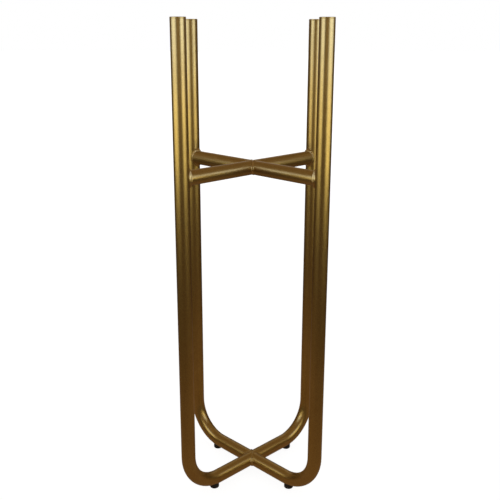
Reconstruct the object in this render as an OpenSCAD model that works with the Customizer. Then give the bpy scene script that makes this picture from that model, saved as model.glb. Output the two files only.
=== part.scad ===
/* [Frame] */
// Outer diameter of every frame tube
tube_d = 25; // [20:1:32]
// Wall thickness of the tubes
tube_wall = 1.5; // [1:0.1:2.5]
// Side of the square that the four leg centres stand on
leg_spacing = 225; // [190:5:320]
// Height from the floor to the top of the legs
stand_h = 840; // [560:10:1100]
// Bend radius of the hoops, at the centre of the tube
bend_r = 70; // [50:1:90]
// Depth from the top of the legs to the centre line of the pot rails
rail_drop = 248; // [100:1:380]
// Depth of the shallow notch in each rail end that fits round a leg
rail_notch = 1.5; // [0.8:0.1:4]

/* [Feet] */
// Diameter of the foot pads
foot_d = 17; // [12:0.5:19]
// Gap that the feet keep between the tubes and the floor
foot_drop = 6; // [3:0.5:15]
// Distance of each foot past the end of the straight floor run
foot_past_run = 9; // [-10:1:12]
// Radius of the rounded lower edge of a pad
foot_edge_r = 2; // [0.5:0.1:3]
// Diameter of the stem that is pushed into the tube
foot_stem_d = 8; // [5:0.5:9]

/* [Leg plugs] */
// Thickness of the rim that shows on top of the leg
plug_rim_h = 2.5; // [1.5:0.1:5]
// Radius of the rounded edge of the rim
plug_edge_r = 0.8; // [0.2:0.1:1.2]
// Depth of the shank inside the leg
plug_depth = 18; // [10:1:30]
// Number of ribs that grip the bore
plug_ribs = 3; // [2:1:5]

/* [Weld beads] */
// Width of the bead on each tube, over and under a rail where it meets a leg
leg_weld_w = 5; // [3:0.1:7]
// Width of the same bead on the rail, at the rail's sides
leg_weld_side_w = 1.6; // [0.8:0.1:3]
// Width of the bead on each tube, at the two crossings
cross_weld_w = 3.5; // [2:0.1:6]
// Height of the bead's crown above a flat bead
weld_crown = 1; // [0.4:0.1:1.6]
// Stations round each bead
weld_steps = 48; // [24:8:72]

/* [Hidden] */
$fn = 96;
tube_r = tube_d / 2;
bore_r = tube_r - tube_wall;
floor_h = foot_drop + tube_r; // centre line of the floor runs
leg_reach = leg_spacing / sqrt(2); // from the stand's centre to a leg's centre line
leg_top = stand_h - plug_rim_h;
rail_h = stand_h - rail_drop;
rail_end = leg_reach - tube_r + rail_notch; // from the stand's centre to the end of a rail
bend_h = floor_h + bend_r;
run_reach = leg_reach - bend_r; // where the straight floor run ends
foot_reach = run_reach + foot_past_run;
cut = 1; // how far a cutting shape passes the face that it cuts

stem_clear = 0.1; // between the stem and its hole, on the radius
stem_r = foot_stem_d / 2 - stem_clear;
barb_r = stem_r + 0.9;
barb_tip_r = stem_r - 0.7;
barb_h = 3;
// The barb begins where it clears the bore, which rises to both sides and round the bend
bore_rise = bore_r - sqrt(pow(bore_r, 2) - pow(barb_r, 2));
bend_rise = pow(max(0, foot_past_run + barb_r), 2) / (2 * (bend_r + bore_r));
barb_base = floor_h - bore_r + bore_rise + bend_rise + stem_clear;

plug_clear = 0.05; // between the ribs and the bore, on the radius
plug_core_r = bore_r - 1.2;
plug_hollow_r = plug_core_r - 1.8;
plug_rib_h = 2;
plug_pitch = plug_depth / plug_ribs;
plug_top_wall = 2;

weld_turn = 2.5; // how far the bead's crown is rounded where the seam has a corner
leg_weld_reach = 2 / 3; // how far round a leg the bead goes, of the quarter turn to the rail's side
side_crown = 0.7; // height of the bead over the rail's end at the rail's sides
side_depth = 2.6; // depth of the bead there
root_depth = 0.12; // depth of its root where the two tubes touch

// Directions from the centre of the stand to the legs, in degrees from +X
front_left = 225;
front_right = 315;
rear_right = 45;
rear_left = 135;

steel = [0.66, 0.53, 0.29];
bead = [0.72, 0.59, 0.34];
plug = [0.62, 0.49, 0.26];
pad = [0.07, 0.07, 0.07];

// Leg, bend and floor run as one solid rod. In here +X points from the centre of the stand to the leg.
module half_hoop_rod(r, top, inner_end) {
    translate([leg_reach, 0, bend_h]) cylinder(r = r, h = top - bend_h);
    translate([run_reach, 0, bend_h])
        rotate([90, 0, 0]) rotate([0, 0, -90])
            rotate_extrude(angle = 90) translate([bend_r, 0]) circle(r = r);
    translate([inner_end, 0, floor_h])
        rotate([0, 90, 0]) cylinder(r = r, h = run_reach - inner_end);
}

// Hole in the underside of the floor run for a foot's stem
module stem_hole() {
    translate([foot_reach, 0, 0]) cylinder(d = foot_stem_d, h = floor_h);
}

// Straight round bar along X, centred on the height h
module bar(r, from, to, h) {
    translate([from, 0, h]) rotate([0, 90, 0]) cylinder(r = r, h = to - from);
}

module leg_rod() {
    translate([leg_reach, 0, 0]) cylinder(r = tube_r, h = stand_h);
}

module main_hoop() {
    color(steel) rotate([0, 0, rear_right]) difference() {
        for (side = [0, 180]) rotate([0, 0, side]) half_hoop_rod(tube_r, leg_top, 0);
        for (side = [0, 180]) rotate([0, 0, side]) {
            half_hoop_rod(bore_r, leg_top + cut, 0);
            stem_hole();
        }
    }
}

// Half hoop whose floor run is coped to fit round the main hoop
module half_hoop(direction) {
    color(steel) rotate([0, 0, direction]) difference() {
        half_hoop_rod(tube_r, leg_top, 0);
        half_hoop_rod(bore_r, leg_top + cut, -cut);
        rotate([0, 0, 90]) bar(tube_r, -tube_d, tube_d, floor_h);
        stem_hole();
    }
}

// Rail between two opposite legs, notched at both ends
module long_rail() {
    color(steel) rotate([0, 0, rear_right]) difference() {
        bar(tube_r, -rail_end, rail_end, rail_h);
        bar(bore_r, -leg_reach - cut, leg_reach + cut, rail_h);
        for (side = [0, 180]) rotate([0, 0, side]) leg_rod();
    }
}

// Rail from a leg to the side of the long rail, notched at the leg and coped at the long rail
module half_rail(direction) {
    color(steel) rotate([0, 0, direction]) difference() {
        bar(tube_r, 0, rail_end, rail_h);
        bar(bore_r, -cut, leg_reach + cut, rail_h);
        rotate([0, 0, 90]) bar(tube_r, -tube_d, tube_d, rail_h);
        leg_rod();
    }
}

// One closed tube of triangles through rings that all have the same number of points
module loft_ring(rings) {
    n = len(rings);
    m = len(rings[0]);
    polyhedron(
        points = [for (ring = rings) for (p = ring) p],
        faces = [
            for (i = [0:n - 1]) for (j = [0:m - 1])
                let (a = i * m, b = ((i + 1) % n) * m, k = (j + 1) % m)
                    each [[a + j, a + k, b + j], [a + k, b + k, b + j]]
        ]
    );
}

function between(a, b, share) = a * (1 - share) + b * share;

// Section of a bead at the angle t round the branch tube. The branch lies along +X from branch_end,
// and the run that it is welded to along Z through the origin. The points go from the edge on the
// branch, over the crown, to the edge on the run, and back along the run and the branch's end.
function bead_section(t, w, side_w, branch_end, reach) =
    let (
        side = branch_end > 0 ? max(0, 1 - tube_r * abs(sin(t)) / branch_end) : 0, // 1 at the sides
        radial = [0, cos(t), sin(t)],
        edge = max(branch_end, norm([tube_r * sin(t), weld_turn])) + between(w, side_w, side),
        on_branch = [edge, 0, 0] + tube_r * radial,
        run_y = tube_r * sin(90 * reach) * cos(t),
        on_run = [sqrt(pow(tube_r, 2) - pow(run_y, 2)), run_y, (tube_r + w) * sin(t)],
        depth = side_depth * sqrt(side) + root_depth,
        root_y = (tube_r - depth) * cos(t),
        root = [sqrt(pow(tube_r, 2) - pow(root_y, 2)), root_y, (tube_r - depth) * sin(t)],
        half_turn = (asin(run_y / tube_r) + asin(root_y / tube_r)) / 2,
        mid_run = [tube_r * cos(half_turn), tube_r * sin(half_turn), (on_run[2] + root[2]) / 2],
        inner_r = tube_r - min(tube_wall, depth * 0.9),
        inner_end = [max(branch_end, root[0] + 0.05), 0, 0] + inner_r * radial,
        corner = max(branch_end, root[0] + 0.1),
        outer_end = [corner, 0, 0] + tube_r * radial,
        out = [abs(sin(t)), 2 * cos(t), sin(t)],
        crest = [
            for (k = [1:3]) between(on_branch, on_run, k / 4) + out / norm(out) * weld_crown * sin(45 * k)
        ],
        over = [between(corner, edge, 0.4), 0, 0] + (tube_r + side_crown) * radial,
        past = between([corner, 0, 0] + (tube_r + 0.7 * side_crown) * radial, on_run, 0.2),
        side_crest = [over, past, (past + on_run) / 2],
        blend = min(1, 3 * side)
    ) [
        on_branch, for (k = [0:2]) between(crest[k], side_crest[k], blend),
        on_run, mid_run, root, inner_end, outer_end
    ];

module weld_bead(w, side_w, branch_end, reach) {
    loft_ring([
        for (i = [0:weld_steps - 1]) bead_section(360 * i / weld_steps, w, side_w, branch_end, reach)
    ]);
}

// Bead between a rail and a leg
module rail_weld(direction) {
    color(bead) rotate([0, 0, direction]) translate([leg_reach, 0, rail_h])
        rotate([0, 0, 180])
            weld_bead(leg_weld_w, leg_weld_side_w, tube_r - rail_notch, leg_weld_reach);
}

// Bead between a tube that stops at the centre line and the tube that passes it, both level
module cross_weld(direction, h) {
    color(bead) rotate([0, 0, direction]) translate([0, 0, h])
        rotate([90, 0, 0]) weld_bead(cross_weld_w, cross_weld_w, 0, 1);
}

// Disc with a rounded edge on its top side
module rounded_disc(r, h, edge_r) {
    rotate_extrude() {
        square([r - edge_r, h]);
        square([r, h - edge_r]);
        translate([r - edge_r, h - edge_r]) circle(r = edge_r);
    }
}

// Plug that closes the top of a leg: a rim, and a hollow shank with ribs that grip the bore
module leg_plug(direction) {
    color(plug) rotate([0, 0, direction]) translate([leg_reach, 0, leg_top]) {
        rounded_disc(tube_r, plug_rim_h, plug_edge_r);
        difference() {
            union() {
                translate([0, 0, -plug_depth]) cylinder(r = plug_core_r, h = plug_depth);
                for (i = [1:plug_ribs]) translate([0, 0, -i * plug_pitch])
                    cylinder(r1 = plug_core_r, r2 = bore_r - plug_clear, h = plug_rib_h);
            }
            translate([0, 0, -plug_depth - cut])
                cylinder(r = plug_hollow_r, h = plug_depth - plug_top_wall + cut);
        }
    }
}

// Foot: a pad whose top fits the round tube, and a barbed stem that is pushed through its wall
module foot(direction) {
    color(pad) rotate([0, 0, direction]) {
        difference() {
            translate([foot_reach, 0, 0]) rotate([180, 0, 0]) translate([0, 0, -floor_h])
                rounded_disc(foot_d / 2, floor_h, foot_edge_r);
            half_hoop_rod(tube_r, leg_top, 0);
        }
        translate([foot_reach, 0, foot_drop / 2]) cylinder(r = stem_r, h = barb_base - foot_drop / 2);
        translate([foot_reach, 0, barb_base]) cylinder(r1 = barb_r, r2 = barb_tip_r, h = barb_h);
    }
}

main_hoop();
half_hoop(rear_left);  // rear_left_half_hoop
half_hoop(front_right);  // front_right_half_hoop
long_rail();
half_rail(rear_left);  // rear_left_half_rail
half_rail(front_right);  // front_right_half_rail
rail_weld(front_left);  // front_left_rail_weld
rail_weld(front_right);  // front_right_rail_weld
rail_weld(rear_left);  // rear_left_rail_weld
rail_weld(rear_right);  // rear_right_rail_weld
cross_weld(rear_left, rail_h);  // rear_left_rail_cross_weld
cross_weld(front_right, rail_h);  // front_right_rail_cross_weld
cross_weld(rear_left, floor_h);  // rear_left_floor_cross_weld
cross_weld(front_right, floor_h);  // front_right_floor_cross_weld
leg_plug(front_left);  // front_left_leg_plug
leg_plug(front_right);  // front_right_leg_plug
leg_plug(rear_left);  // rear_left_leg_plug
leg_plug(rear_right);  // rear_right_leg_plug
foot(front_left);  // front_left_foot
foot(front_right);  // front_right_foot
foot(rear_left);  // rear_left_foot
foot(rear_right);  // rear_right_foot
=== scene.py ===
import math

import bpy
from mathutils import Matrix, Vector, noise


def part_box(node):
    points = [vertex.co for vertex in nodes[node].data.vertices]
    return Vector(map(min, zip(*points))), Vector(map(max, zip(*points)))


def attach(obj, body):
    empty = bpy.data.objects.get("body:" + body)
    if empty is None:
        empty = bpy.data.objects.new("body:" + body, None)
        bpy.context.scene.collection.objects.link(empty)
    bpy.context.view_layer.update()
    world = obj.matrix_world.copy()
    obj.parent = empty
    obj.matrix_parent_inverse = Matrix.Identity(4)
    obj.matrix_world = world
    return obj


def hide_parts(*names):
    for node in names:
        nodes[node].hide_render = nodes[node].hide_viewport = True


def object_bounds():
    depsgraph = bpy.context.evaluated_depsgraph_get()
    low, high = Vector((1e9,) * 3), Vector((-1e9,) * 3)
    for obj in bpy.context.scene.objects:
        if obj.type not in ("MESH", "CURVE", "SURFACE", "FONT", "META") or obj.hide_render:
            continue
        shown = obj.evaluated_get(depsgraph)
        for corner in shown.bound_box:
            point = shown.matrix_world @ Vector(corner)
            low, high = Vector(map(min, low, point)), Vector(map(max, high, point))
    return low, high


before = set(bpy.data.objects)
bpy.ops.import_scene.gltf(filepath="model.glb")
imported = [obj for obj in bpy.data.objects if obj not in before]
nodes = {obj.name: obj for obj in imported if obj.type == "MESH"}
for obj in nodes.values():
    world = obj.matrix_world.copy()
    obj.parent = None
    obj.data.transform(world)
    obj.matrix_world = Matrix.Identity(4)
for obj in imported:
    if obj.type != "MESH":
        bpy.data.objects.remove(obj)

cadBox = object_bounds()
mm = 0.001

# The frame's own sizes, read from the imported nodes
railLow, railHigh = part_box("long_rail")
hoopLow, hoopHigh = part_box("main_hoop")
tubeR = (railHigh.z - railLow.z) / 2
railZ = (railHigh.z + railLow.z) / 2
floorZ = hoopLow.z + tubeR   # centre line of the tubes that cross at the floor
legTopZ = hoopHigh.z
standTopZ = cadBox[1][2]
legReach = (hoopHigh.x - tubeR) * math.sqrt(2)   # from the stand's centre to a leg's centre line
railGap = legReach + tubeR - railHigh.x * math.sqrt(2)   # from a leg's centre line to the end of a rail
legNames = ("front_left", "front_right", "rear_left", "rear_right")
print("frame read: tube radius %.4f, rails at %.4f, legs at %.4f" % (tubeR, railZ, legReach))

near = 0.01 * mm   # two heights or radii closer than this are the same
smoothAngle = 35   # degrees between two faces that still shade as one surface


def clearSelection():
    if bpy.context.object and bpy.context.object.mode != "OBJECT":
        bpy.ops.object.mode_set(mode="OBJECT")
    bpy.ops.object.select_all(action="DESELECT")


def turnTo(legName):   # from the stand's +X side round to that leg
    low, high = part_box(legName + "_leg_plug")
    return Matrix.Rotation(math.atan2(low.y + high.y, low.x + high.x), 4, "Z")


def pick(piece, parts, wanted):   # selects the faces or edges that pass the test, and stays in edit mode
    bpy.ops.object.mode_set(mode="EDIT")
    bpy.ops.mesh.select_mode(type="FACE" if parts == "polygons" else "EDGE")
    bpy.ops.mesh.select_all(action="DESELECT")
    bpy.ops.object.mode_set(mode="OBJECT")
    for part in getattr(piece.data, parts):
        part.select = wanted(part)
    bpy.ops.object.mode_set(mode="EDIT")


def onRing(piece, height, radius, centreX=0):   # test for the edges of the ring at that height and radius
    def wanted(edge):
        ends = [piece.data.vertices[index].co for index in edge.vertices]
        return all(
            abs(end.z - height) < near and abs(math.hypot(end.x - centreX, end.y) - radius) < near
            for end in ends
        )
    return wanted


def endFace(height):   # test for the many-sided face at that height
    return lambda face: len(face.vertices) > 4 and abs(face.center.z - height) < near


def extrudeTo(rise, scale=1, centre=(0, 0, 0)):   # moves the picked end out, and narrows or widens it there
    bpy.ops.mesh.extrude_region_move(TRANSFORM_OT_translate={"value": (0, 0, rise)})
    if scale != 1:
        bpy.ops.transform.resize(value=(scale, scale, 1), center_override=centre)


def smoothPiece(piece):
    bpy.ops.object.mode_set(mode="OBJECT")
    clearSelection()
    piece.select_set(True)
    bpy.context.view_layer.objects.active = piece
    bpy.ops.object.shade_smooth_by_angle(angle=math.radians(smoothAngle))


def finishPiece(piece, name, node, material, place):   # a copy of the piece, put where the node is
    twin = piece.copy()
    twin.data = piece.data.copy()
    twin.name = name
    twin.data.name = name
    twin.data.transform(place)
    twin.data.materials.clear()
    twin.data.materials.append(material)
    bpy.context.collection.objects.link(twin)
    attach(twin, "root")
    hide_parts(node)


def discard(piece):
    bpy.data.objects.remove(piece, do_unlink=True)


def startMaterial(name):
    material = bpy.data.materials.new(name)
    material.use_nodes = True
    tree = material.node_tree
    shader = tree.nodes["Principled BSDF"]
    place = tree.nodes.new("ShaderNodeTexCoord").outputs["Object"]
    return material, tree, shader, place


def addNoise(tree, place, scale, detail, roughness):
    pattern = tree.nodes.new("ShaderNodeTexNoise")
    pattern.inputs["Scale"].default_value = scale
    pattern.inputs["Detail"].default_value = detail
    pattern.inputs["Roughness"].default_value = roughness
    tree.links.new(place, pattern.inputs["Vector"])
    return pattern.outputs["Fac"]


def addRamp(tree, value, bounds, lowColour, highColour):
    ramp = tree.nodes.new("ShaderNodeValToRGB")
    ramp.color_ramp.elements[0].position = bounds[0]
    ramp.color_ramp.elements[1].position = bounds[1]
    ramp.color_ramp.elements[0].color = (*lowColour, 1)
    ramp.color_ramp.elements[1].color = (*highColour, 1)
    tree.links.new(value, ramp.inputs["Fac"])
    return ramp.outputs["Color"]


def addTint(tree, colour, tint):
    node = tree.nodes.new("ShaderNodeMix")
    node.data_type = "RGBA"
    node.blend_type = "MULTIPLY"
    node.inputs[0].default_value = 1
    tree.links.new(colour, node.inputs["A"])
    tree.links.new(tint, node.inputs["B"])
    return node.outputs["Result"]


def addRange(tree, value, bounds, newBounds):
    node = tree.nodes.new("ShaderNodeMapRange")
    for name, number in zip(("From Min", "From Max", "To Min", "To Max"), (*bounds, *newBounds)):
        node.inputs[name].default_value = number
    tree.links.new(value, node.inputs["Value"])
    return node.outputs["Result"]


def addBump(tree, shader, height, strength, distance, under=None):
    bump = tree.nodes.new("ShaderNodeBump")
    bump.inputs["Strength"].default_value = strength
    bump.inputs["Distance"].default_value = distance
    tree.links.new(height, bump.inputs["Height"])
    if under:
        tree.links.new(under, bump.inputs["Normal"])
    tree.links.new(bump.outputs["Normal"], shader.inputs["Normal"])
    return bump.outputs["Normal"]


# Each noise is given by its scale, detail and roughness, its range by where the change starts and ends,
# and each bump by its strength and depth.
brassPaint = {   # satin metallic paint: clouds of tone, fine flakes, a few duller rubbed spots
    "pale": (0.60, 0.43, 0.13), "deep": (0.54, 0.375, 0.105),
    "cloud": (9, 4, 0.6), "cloudRange": (0.35, 0.65), "rough": (0.35, 0.29), "roughRange": (0.3, 0.7),
    "metallic": 0.95, "coat": 0.8, "coatRough": 0.25,
    "speck": (620, 3, 0.7), "speckRange": (0.3, 0.7),
    "speckDark": (0.80, 0.77, 0.72), "speckBright": (1.12, 1.12, 1.12),
    "rub": (34, 7, 0.7), "rubRange": (0.62, 0.72), "rubTint": (0.90, 0.87, 0.82), "rubRough": 0.06,
    "toeRange": (0.2, 1), "toeShadeTint": (1, 1, 1), "toeRough": 0,
    "peel": (420, 2, 0.5), "peelBump": (0.22, 0.2 * mm),
    "flake": (1500, 2, 0.5), "flakeBump": (0.12, 0.1 * mm),
}
beadPaint = {   # paler than the frame's paint as a painted highlight, and darker where a bead meets the tubes as painted shade
    **brassPaint, "pale": (0.70, 0.53, 0.20), "deep": (0.62, 0.46, 0.16), "rough": (0.29, 0.22),
    "toeShadeTint": (0.60, 0.54, 0.46), "toeRough": 0.12, "peel": (700, 2, 0.5), "peelBump": (0.35, 0.2 * mm),
}
plugPaint = {   # the same paint on moulded plastic: smoother, and a little softer in its shine
    **brassPaint, "metallic": 0.9, "rough": (0.38, 0.33), "speck": (900, 3, 0.7),
    "peel": (260, 2, 0.5), "peelBump": (0.12, 0.2 * mm),
}


def makeBrassPaint(name, spec):
    material, tree, shader, place = startMaterial(name)
    cloud = addNoise(tree, place, *spec["cloud"])
    flake = addNoise(tree, place, *spec["flake"])
    peel = addNoise(tree, place, *spec["peel"])
    speck = addNoise(tree, place, *spec["speck"])
    rub = addRange(tree, addNoise(tree, place, *spec["rub"]), spec["rubRange"], (0, 1))
    edges = tree.nodes.new("ShaderNodeAttribute")   # 1 along the edges of a weld bead
    edges.attribute_name = "toe"
    toe = edges.outputs["Fac"]
    colour = addRamp(tree, cloud, spec["cloudRange"], spec["deep"], spec["pale"])
    specks = addRamp(tree, speck, spec["speckRange"], spec["speckDark"], spec["speckBright"])
    rubbed = addRamp(tree, rub, (0, 1), (1, 1, 1), spec["rubTint"])
    # painted shade: the bead's toes are darkened where the bead meets the tubes
    paintedToeShade = addRamp(tree, toe, spec["toeRange"], (1, 1, 1), spec["toeShadeTint"])
    for tint in (specks, rubbed, paintedToeShade):
        colour = addTint(tree, colour, tint)
    tree.links.new(colour, shader.inputs["Base Color"])
    rough = addRange(tree, cloud, spec["roughRange"], spec["rough"])
    for value, extra in ((rub, spec["rubRough"]), (toe, spec["toeRough"])):
        total = tree.nodes.new("ShaderNodeMath")
        total.operation = "ADD"
        tree.links.new(rough, total.inputs[0])
        tree.links.new(addRange(tree, value, (0, 1), (0, extra)), total.inputs[1])
        rough = total.outputs[0]
    tree.links.new(rough, shader.inputs["Roughness"])
    peelNormal = addBump(tree, shader, peel, *spec["peelBump"])
    addBump(tree, shader, flake, *spec["flakeBump"], under=peelNormal)
    shader.inputs["Metallic"].default_value = spec["metallic"]
    shader.inputs["Coat Weight"].default_value = spec["coat"]
    shader.inputs["Coat Roughness"].default_value = spec["coatRough"]
    return material


footRubber = {
    "dark": (0.012, 0.012, 0.013), "grey": (0.03, 0.03, 0.031), "rough": 0.55,
    "grain": (900, 3, 0.5), "grainRange": (0.3, 0.7), "grainBump": (0.15, 0.1 * mm),
}


def makeFootRubber(name, spec):
    material, tree, shader, place = startMaterial(name)
    grain = addNoise(tree, place, *spec["grain"])
    colour = addRamp(tree, grain, spec["grainRange"], spec["dark"], spec["grey"])
    tree.links.new(colour, shader.inputs["Base Color"])
    addBump(tree, shader, grain, *spec["grainBump"])
    shader.inputs["Roughness"].default_value = spec["rough"]
    return material


frameLook = makeBrassPaint("brassFramePaint", brassPaint)
beadLook = makeBrassPaint("brassWeldPaint", beadPaint)
plugLook = makeBrassPaint("brassPlugPaint", plugPaint)
rubber = makeFootRubber("blackFootRubber", footRubber)
for name, node in nodes.items():
    for materialSlot in node.material_slots:
        materialSlot.material = rubber if name.endswith("_foot") else frameLook
print("materials ready")


# A rail stops short of the leg at its sides, and the bead is narrow there. The values that begin with
# side shape that part.
railBead = {   # where a rail meets a leg
    "width": 4.6 * mm, "crown": 0.9 * mm, "crownTurn": 2.5 * mm, "rootDepth": 0.12 * mm, "sink": 0.4 * mm,
    "branchEnd": railGap, "reach": 60,   # in degrees round the leg, out from the line that faces the rail
    "sideWidth": 1.5 * mm, "sideCrown": 1.4 * mm, "sideFall": 0.4 * mm, "sideDepth": 2.6 * mm,
    "sideLean": (0.4, 0.15), "sideSpread": 3,
    "uneven": 0.16, "unevenScale": 2.3, "firstSeed": 0, "seedStep": 3.7,
    "ripples": 54, "rippleHeight": 0.24 * mm, "rippleMean": 0.6, "rippleBow": 2.6, "toeRipple": 0.16 * mm,
    "stopTurn": 270, "stopLength": 9, "stopHeight": 0.5 * mm,
    "stations": 486, "sides": 24,
}
crossBead = {   # where two tubes cross, dressed almost flush
    **railBead, "width": 3.5 * mm, "crown": 0.6 * mm, "branchEnd": 0, "reach": 90,
    "firstSeed": 20, "seedStep": 5.3,
    "rippleHeight": 0.12 * mm, "toeRipple": 0.08 * mm, "stopTurn": 180, "stopHeight": 0.2 * mm,
}


def between(first, second, share):
    return first * (1 - share) + second * share


# Point of a bead in its own frame: the branch tube lies along +X and the run that it meets along Z.
# turn goes round the branch. across goes from the branch (0) over the crown to the run (1), and back
# underneath to the branch (2).
def beadPoint(spec, seed, turn, across):
    sine, cosine = math.sin(turn), math.cos(turn)
    radial = Vector((0, cosine, sine))
    branchEnd = spec["branchEnd"]
    side = max(0, 1 - tubeR * abs(sine) / branchEnd) if branchEnd else 0   # 1 at the branch's sides
    wave = noise.noise(Vector((cosine, sine, seed)) * spec["unevenScale"])
    bow = spec["rippleBow"] * (2 * min(across, 1) - 1) ** 2
    ripple = abs(math.cos((spec["ripples"] * turn + bow) / 2))   # round tops, sharp valleys
    ripple -= spec["rippleMean"]
    width = spec["width"] * (1 + spec["uneven"] * wave) + spec["toeRipple"] * ripple
    sideWidth = spec["sideWidth"] + spec["toeRipple"] * ripple
    edge = max(branchEnd, math.hypot(tubeR * sine, spec["crownTurn"])) + between(width, sideWidth, side)
    branchToe = Vector((edge, 0, 0)) + radial * tubeR
    runY = tubeR * math.sin(math.radians(spec["reach"])) * cosine
    runToe = Vector((math.sqrt(tubeR ** 2 - runY ** 2), runY, (tubeR + width) * sine))
    outward = Vector((abs(sine), 2 * cosine, sine)).normalized()
    if across > 1:
        back = across - 1
        rootR = tubeR - spec["sideDepth"] * math.sqrt(side) - spec["rootDepth"]
        seam = Vector((math.sqrt(tubeR ** 2 - (rootR * cosine) ** 2), 0, 0)) + radial * rootR
        root = seam + (seam - (branchToe + runToe) / 2) / 2
        under = runToe * (1 - back) ** 2 + root * 2 * back * (1 - back) + branchToe * back ** 2
        return under - outward * spec["sink"] * math.sin(math.pi * back)
    fromStop = (math.degrees(turn) - spec["stopTurn"]) / spec["stopLength"]
    crown = spec["crown"] * (1 + 2 * spec["uneven"] * wave) + spec["stopHeight"] * math.exp(-fromStop ** 2)
    arch = math.sin(math.pi * across)
    crest = between(branchToe, runToe, across) + outward * crown * arch
    overLean, pastLean = spec["sideLean"]   # the crest at the sides is a curve with two handles
    over = Vector((between(branchEnd, edge, overLean), 0, 0)) + radial * (tubeR + spec["sideCrown"])
    past = Vector((branchEnd, 0, 0)) + radial * (tubeR - spec["sideFall"])
    past = between(past, runToe, pastLean)
    sideCrest = branchToe * (1 - across) ** 3 + over * 3 * across * (1 - across) ** 2
    sideCrest += past * 3 * across ** 2 * (1 - across) + runToe * across ** 3
    blend = min(1, spec["sideSpread"] * side)
    blend = blend ** 2 * (3 - 2 * blend)
    return between(crest, sideCrest, blend) + outward * spec["rippleHeight"] * ripple * arch


def makeBead(name, spec, seed, place):
    clearSelection()
    ringR = 3 * mm   # any small size, because each point of the torus is moved
    bpy.ops.mesh.primitive_torus_add(
        major_segments=spec["stations"] // 2, minor_segments=spec["sides"] // 2,
        major_radius=tubeR, minor_radius=ringR,
    )
    ring = bpy.context.object
    bpy.ops.object.mode_set(mode="EDIT")
    bpy.ops.mesh.subdivide(number_cuts=1)
    bpy.ops.object.mode_set(mode="OBJECT")
    toes = []
    for point in ring.data.vertices:   # the torus is laid round the joint, its upper half as the crown
        x, y, z = point.co
        turn = math.atan2(y, x) % (2 * math.pi)
        across = math.atan2(z, math.hypot(x, y) - tubeR) % (2 * math.pi) / math.pi
        toes.append(1 - math.sin(math.pi * across) ** 0.5 if across < 1 else 1)
        point.co = beadPoint(spec, seed, turn, across)
    ring.data.attributes.new("toe", "FLOAT", "POINT").data.foreach_set("value", toes)
    bpy.ops.object.mode_set(mode="EDIT")
    bpy.ops.mesh.select_all(action="SELECT")
    bpy.ops.mesh.normals_make_consistent(inside=False)
    bpy.ops.object.mode_set(mode="OBJECT")
    bpy.ops.object.shade_smooth()
    finishPiece(ring, name + "_bead", name, beadLook, place)
    discard(ring)


halfTurn = Matrix.Rotation(math.pi, 4, "Z")
for number, legName in enumerate(legNames):
    place = turnTo(legName) @ Matrix.Translation((legReach, 0, railZ)) @ halfTurn
    seed = railBead["firstSeed"] + railBead["seedStep"] * number
    makeBead(legName + "_rail_weld", railBead, seed, place)
upright = Matrix.Rotation(math.pi / 2, 4, "X")
for number, legName in enumerate(("rear_left", "front_right")):
    for level, height in (("rail", railZ), ("floor", floorZ)):
        place = turnTo(legName) @ Matrix.Translation((0, 0, height)) @ upright
        seed = crossBead["firstSeed"] + crossBead["seedStep"] * number + height   # no two beads alike
        makeBead("%s_%s_cross_weld" % (legName, level), crossBead, seed, place)
print("weld beads laid")


legPlug = {
    "topEdge": 0.8 * mm, "topSegments": 6, "seamEdge": 0.35 * mm, "seamSegments": 3, "sides": 96,
    "depth": 18 * mm, "coreR": 9.8 * mm, "hollowR": 8 * mm, "topWall": 2 * mm,
    "ribs": 3, "ribR": 10.95 * mm, "ribHeight": 2 * mm,
}


def makePlugs(spec):
    clearSelection()
    rim = standTopZ - legTopZ
    bpy.ops.mesh.primitive_cylinder_add(
        vertices=spec["sides"], radius=tubeR, depth=rim, location=(0, 0, rim / 2),
    )
    bpy.ops.object.transform_apply(location=True)
    plug = bpy.context.object
    pick(plug, "polygons", endFace(0))
    bpy.ops.mesh.inset(thickness=tubeR - spec["coreR"])
    widen = spec["ribR"] / spec["coreR"]
    pitch = spec["depth"] / spec["ribs"]
    for rib in range(spec["ribs"]):
        extrudeTo(spec["ribHeight"] - pitch)
        extrudeTo(0, widen)
        extrudeTo(-spec["ribHeight"], 1 / widen)
    bpy.ops.mesh.inset(thickness=spec["coreR"] - spec["hollowR"])
    extrudeTo(spec["depth"] - spec["topWall"])
    pick(plug, "edges", onRing(plug, rim, tubeR))
    bpy.ops.mesh.bevel(offset=spec["topEdge"], segments=spec["topSegments"])
    pick(plug, "edges", onRing(plug, 0, tubeR))
    bpy.ops.mesh.bevel(offset=spec["seamEdge"], segments=spec["seamSegments"])
    smoothPiece(plug)
    for legName in legNames:
        place = turnTo(legName) @ Matrix.Translation((legReach, 0, legTopZ))
        finishPiece(plug, legName + "_end_plug", legName + "_leg_plug", plugLook, place)
    discard(plug)


makePlugs(legPlug)
print("leg plugs turned")


rubberFoot = {
    "radius": 8.5 * mm, "lowerEdge": 2 * mm, "edgeSegments": 8, "sides": 72,
    "bendR": 70 * mm, "bendSegments": 256, "bendSides": 96,
    "pastRun": 9 * mm,   # from the end of the straight tube on the floor to the foot's centre
    "stemR": 3.9 * mm, "stemSides": 48, "barbR": 4.8 * mm, "barbTipR": 3.2 * mm, "barbHeight": 3 * mm,
    "barbBase": 9.88 * mm,   # above the floor
}


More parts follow.
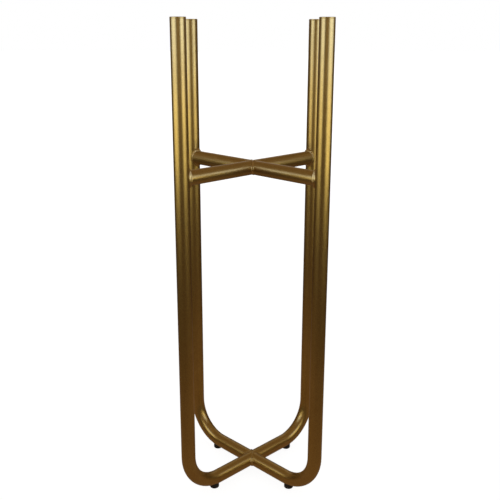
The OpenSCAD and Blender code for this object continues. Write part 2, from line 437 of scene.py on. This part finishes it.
def makeFeet(spec):
    clearSelection()
    footX = legReach - spec["bendR"] + spec["pastRun"]
    bpy.ops.mesh.primitive_cylinder_add(
        vertices=spec["sides"], radius=spec["radius"], depth=floorZ, location=(footX, 0, floorZ / 2),
    )
    bpy.ops.object.transform_apply(location=True)
    foot = bpy.context.object
    pick(foot, "edges", onRing(foot, 0, spec["radius"], footX))
    bpy.ops.mesh.bevel(offset=spec["lowerEdge"], segments=spec["edgeSegments"])
    clearSelection()
    bpy.ops.mesh.primitive_torus_add(   # the bend that the pad's saddle fits
        major_segments=spec["bendSegments"], minor_segments=spec["bendSides"],
        major_radius=spec["bendR"], minor_radius=tubeR,
        location=(legReach - spec["bendR"], 0, floorZ + spec["bendR"]), rotation=(math.pi / 2, 0, 0),
    )
    bend = bpy.context.object
    saddle = foot.modifiers.new("saddle", "BOOLEAN")
    saddle.object = bend
    saddle.operation = "DIFFERENCE"
    bpy.context.view_layer.objects.active = foot
    bpy.ops.object.modifier_apply(modifier=saddle.name)
    discard(bend)
    clearSelection()
    stemLow = hoopLow.z / 2
    bpy.ops.mesh.primitive_cylinder_add(
        vertices=spec["stemSides"], radius=spec["stemR"], depth=spec["barbBase"] - stemLow,
        location=(footX, 0, (spec["barbBase"] + stemLow) / 2),
    )
    bpy.ops.object.transform_apply(location=True)
    stem = bpy.context.object
    axis = (footX, 0, 0)
    pick(stem, "polygons", endFace(spec["barbBase"]))
    extrudeTo(0, spec["barbR"] / spec["stemR"], axis)
    extrudeTo(spec["barbHeight"], spec["barbTipR"] / spec["barbR"], axis)
    bpy.ops.object.mode_set(mode="OBJECT")
    joined = foot.modifiers.new("stem", "BOOLEAN")
    joined.object = stem
    joined.operation = "UNION"
    bpy.context.view_layer.objects.active = foot
    bpy.ops.object.modifier_apply(modifier=joined.name)
    discard(stem)
    smoothPiece(foot)
    for legName in legNames:
        place = turnTo(legName)
        finishPiece(foot, legName + "_rubber_foot", legName + "_foot", rubber, place)
    discard(foot)


makeFeet(rubberFoot)
print("feet moulded")


studio = {
    "floorSize": 60, "floorColour": (0.16, 0.16, 0.16), "floorRough": 0.9,
    "floorWhite": (0.93, 1.0), "fadeRange": (0.7, 3.0),   # the floor's white under the stand, and far off
    "backdropWhite": 1.0, "roomLight": (0.46, 0.44, 0.42),
}
flags = {   # a dim round tent and mat that only reflections see: they keep the paint's flanks dark
    "radius": 2.6, "height": 3.0, "lift": 0.5 * mm, "sides": 96,
    "nearGlow": (0.175, 0.10, 0.05), "farGlow": (0.046, 0.022, 0.009), "glowRange": (0.28, 1.05),
    "aboveGlow": (0.15, 0.10, 0.05), "aboveRange": (0.6, 1.6),
}
lamps = {   # turn is from the front, seen from above, and goes to the right
    "leftSoftbox": {
        "turn": -57, "distance": 0.95, "height": 0.95, "width": 1.1, "tall": 0.48,
        "colour": (0.82, 1, 1.5), "brightness": 0.84,
    },
    "leftWarmPanel": {
        "turn": -57, "distance": 0.95, "height": 0.575, "width": 1.1, "tall": 0.23,
        "colour": (1.08, 1, 0.6), "brightness": 0.71,
    },
    "rightSoftbox": {
        "turn": 57, "distance": 0.95, "height": 0.95, "width": 1.05, "tall": 0.48,
        "colour": (0.82, 1, 1.5), "brightness": 0.88,
    },
    "rightWarmPanel": {
        "turn": 57, "distance": 0.95, "height": 0.565, "width": 1.05, "tall": 0.25,
        "colour": (1.08, 1, 0.6), "brightness": 0.75,
    },
    "frontFill": {
        "turn": 3, "distance": 2.0, "height": 0.8, "width": 1.2, "tall": 0.6,
        "colour": (1.25, 1, 0.6), "brightness": 0.10,
    },
    "rearSoftbox": {
        "turn": 180, "distance": 1.6, "height": 0.85, "width": 1.4, "tall": 0.6,
        "colour": (1, 0.95, 0.85), "brightness": 0.14,
    },
}
lampSpread = 120   # degrees


def backgroundRays(tree):   # 1 where the background is seen by the camera, or in metal or glass
    rays = tree.nodes.new("ShaderNodeLightPath").outputs
    seen = rays["Is Camera Ray"]
    for name in ("Is Glossy Ray", "Is Transmission Ray"):
        either = tree.nodes.new("ShaderNodeMath")
        either.operation = "MAXIMUM"
        tree.links.new(seen, either.inputs[0])
        tree.links.new(rays[name], either.inputs[1])
        seen = either.outputs[0]
    return seen


def makeWorld():
    world = bpy.data.worlds.new("paleStudio")
    bpy.context.scene.world = world
    world.use_nodes = True
    tree = world.node_tree
    room = tree.nodes["Background"]
    room.inputs["Color"].default_value = (*studio["roomLight"], 1)
    white = tree.nodes.new("ShaderNodeBackground")
    white.inputs["Color"].default_value = (1, 1, 1, 1)
    white.inputs["Strength"].default_value = studio["backdropWhite"]
    mix = tree.nodes.new("ShaderNodeMixShader")
    tree.links.new(backgroundRays(tree), mix.inputs["Fac"])
    tree.links.new(room.outputs[0], mix.inputs[1])
    tree.links.new(white.outputs[0], mix.inputs[2])
    tree.links.new(mix.outputs[0], tree.nodes["World Output"].inputs["Surface"])


def addDistance(tree, place):   # from the Z axis, along the floor
    flat = tree.nodes.new("ShaderNodeVectorMath")
    flat.operation = "MULTIPLY"
    flat.inputs[1].default_value = (1, 1, 0)
    tree.links.new(place, flat.inputs[0])
    length = tree.nodes.new("ShaderNodeVectorMath")
    length.operation = "LENGTH"
    tree.links.new(flat.outputs["Vector"], length.inputs[0])
    return length.outputs["Value"]


def makeFloor():
    clearSelection()
    bpy.ops.mesh.primitive_plane_add(size=studio["floorSize"])
    floor = bpy.context.object
    floor.name = "studioFloor"
    material, tree, shader, place = startMaterial("paleFloor")
    shader.inputs["Base Color"].default_value = (*studio["floorColour"], 1)
    shader.inputs["Roughness"].default_value = studio["floorRough"]
    white = addRange(tree, addDistance(tree, place), studio["fadeRange"], studio["floorWhite"])
    glow = tree.nodes.new("ShaderNodeEmission")
    tree.links.new(white, glow.inputs["Strength"])
    dark = tree.nodes.new("ShaderNodeEmission")
    dark.inputs["Strength"].default_value = 0
    seen = tree.nodes.new("ShaderNodeMixShader")
    tree.links.new(backgroundRays(tree), seen.inputs["Fac"])
    tree.links.new(dark.outputs[0], seen.inputs[1])
    tree.links.new(glow.outputs[0], seen.inputs[2])
    both = tree.nodes.new("ShaderNodeAddShader")
    tree.links.new(shader.outputs[0], both.inputs[0])
    tree.links.new(seen.outputs[0], both.inputs[1])
    tree.links.new(both.outputs[0], tree.nodes["Material Output"].inputs["Surface"])
    floor.data.materials.append(material)


def makeFlags(spec):
    clearSelection()
    bpy.ops.mesh.primitive_cylinder_add(
        vertices=spec["sides"], radius=spec["radius"], depth=spec["height"],
        location=(0, 0, spec["height"] / 2 + spec["lift"]),
    )
    bpy.ops.object.transform_apply(location=True)
    tent = bpy.context.object
    tent.name = "darkFlags"
    material, tree, shader, place = startMaterial("dimFlags")
    split = tree.nodes.new("ShaderNodeSeparateXYZ")
    tree.links.new(place, split.inputs[0])
    spread = addRange(tree, addDistance(tree, place), spec["glowRange"], (0, 1))
    above = addRange(tree, split.outputs["Z"], spec["aboveRange"], (0, 1))
    both = tree.nodes.new("ShaderNodeAddShader")
    parts = ((spread, spec["nearGlow"], spec["farGlow"]), (above, (0, 0, 0), spec["aboveGlow"]))
    for number, (value, low, high) in enumerate(parts):
        glow = tree.nodes.new("ShaderNodeEmission")
        tree.links.new(addRamp(tree, value, (0, 1), low, high), glow.inputs["Color"])
        tree.links.new(glow.outputs[0], both.inputs[number])
    tree.links.new(both.outputs[0], tree.nodes["Material Output"].inputs["Surface"])
    tree.nodes.remove(shader)
    tent.data.materials.append(material)
    tent.visible_camera = False
    tent.visible_diffuse = False
    tent.visible_transmission = False
    tent.visible_shadow = False


def makeLamp(name, spec):
    turn = math.radians(spec["turn"])
    reach = spec["distance"]
    place = Vector((math.sin(turn) * reach, -math.cos(turn) * reach, spec["height"]))
    bpy.ops.object.light_add(type="AREA", location=place)
    lamp = bpy.context.object
    lamp.name = name
    lamp.rotation_euler = (Vector((0, 0, spec["height"])) - place).to_track_quat("-Z", "Y").to_euler()
    lamp.data.shape = "RECTANGLE"
    lamp.data.size = spec["width"]
    lamp.data.size_y = spec["tall"]
    lamp.data.spread = math.radians(lampSpread)
    lamp.data.color = spec["colour"]
    lamp.data.energy = spec["brightness"] * math.pi * spec["width"] * spec["tall"]
    lamp.visible_camera = False


makeWorld()
makeFloor()
makeFlags(flags)
for name, spec in lamps.items():
    makeLamp(name, spec)
print("studio ready")


cameraSpec = {   # place in metres, turns in degrees, lens and sensor in millimetres
    "place": (0.006, -1.2846, 0.8197), "heading": 0.4526, "pitch": 16.39, "roll": 0.092,
    "lens": 53.65, "sensor": 36,
}


def makeCamera(spec):
    bpy.ops.object.camera_add()
    camera = bpy.context.object
    camera.name = "photoCamera"
    camera.data.lens = spec["lens"]
    camera.data.sensor_width = spec["sensor"]
    turn = (
        Matrix.Rotation(math.radians(spec["heading"]), 4, "Z")
        @ Matrix.Rotation(math.radians(90 - spec["pitch"]), 4, "X")
        @ Matrix.Rotation(math.radians(spec["roll"]), 4, "Z")
    )
    camera.matrix_world = Matrix.Translation(spec["place"]) @ turn
    bpy.context.scene.camera = camera


makeCamera(cameraSpec)
bpy.context.scene.view_settings.view_transform = "Standard"
print("camera ready")
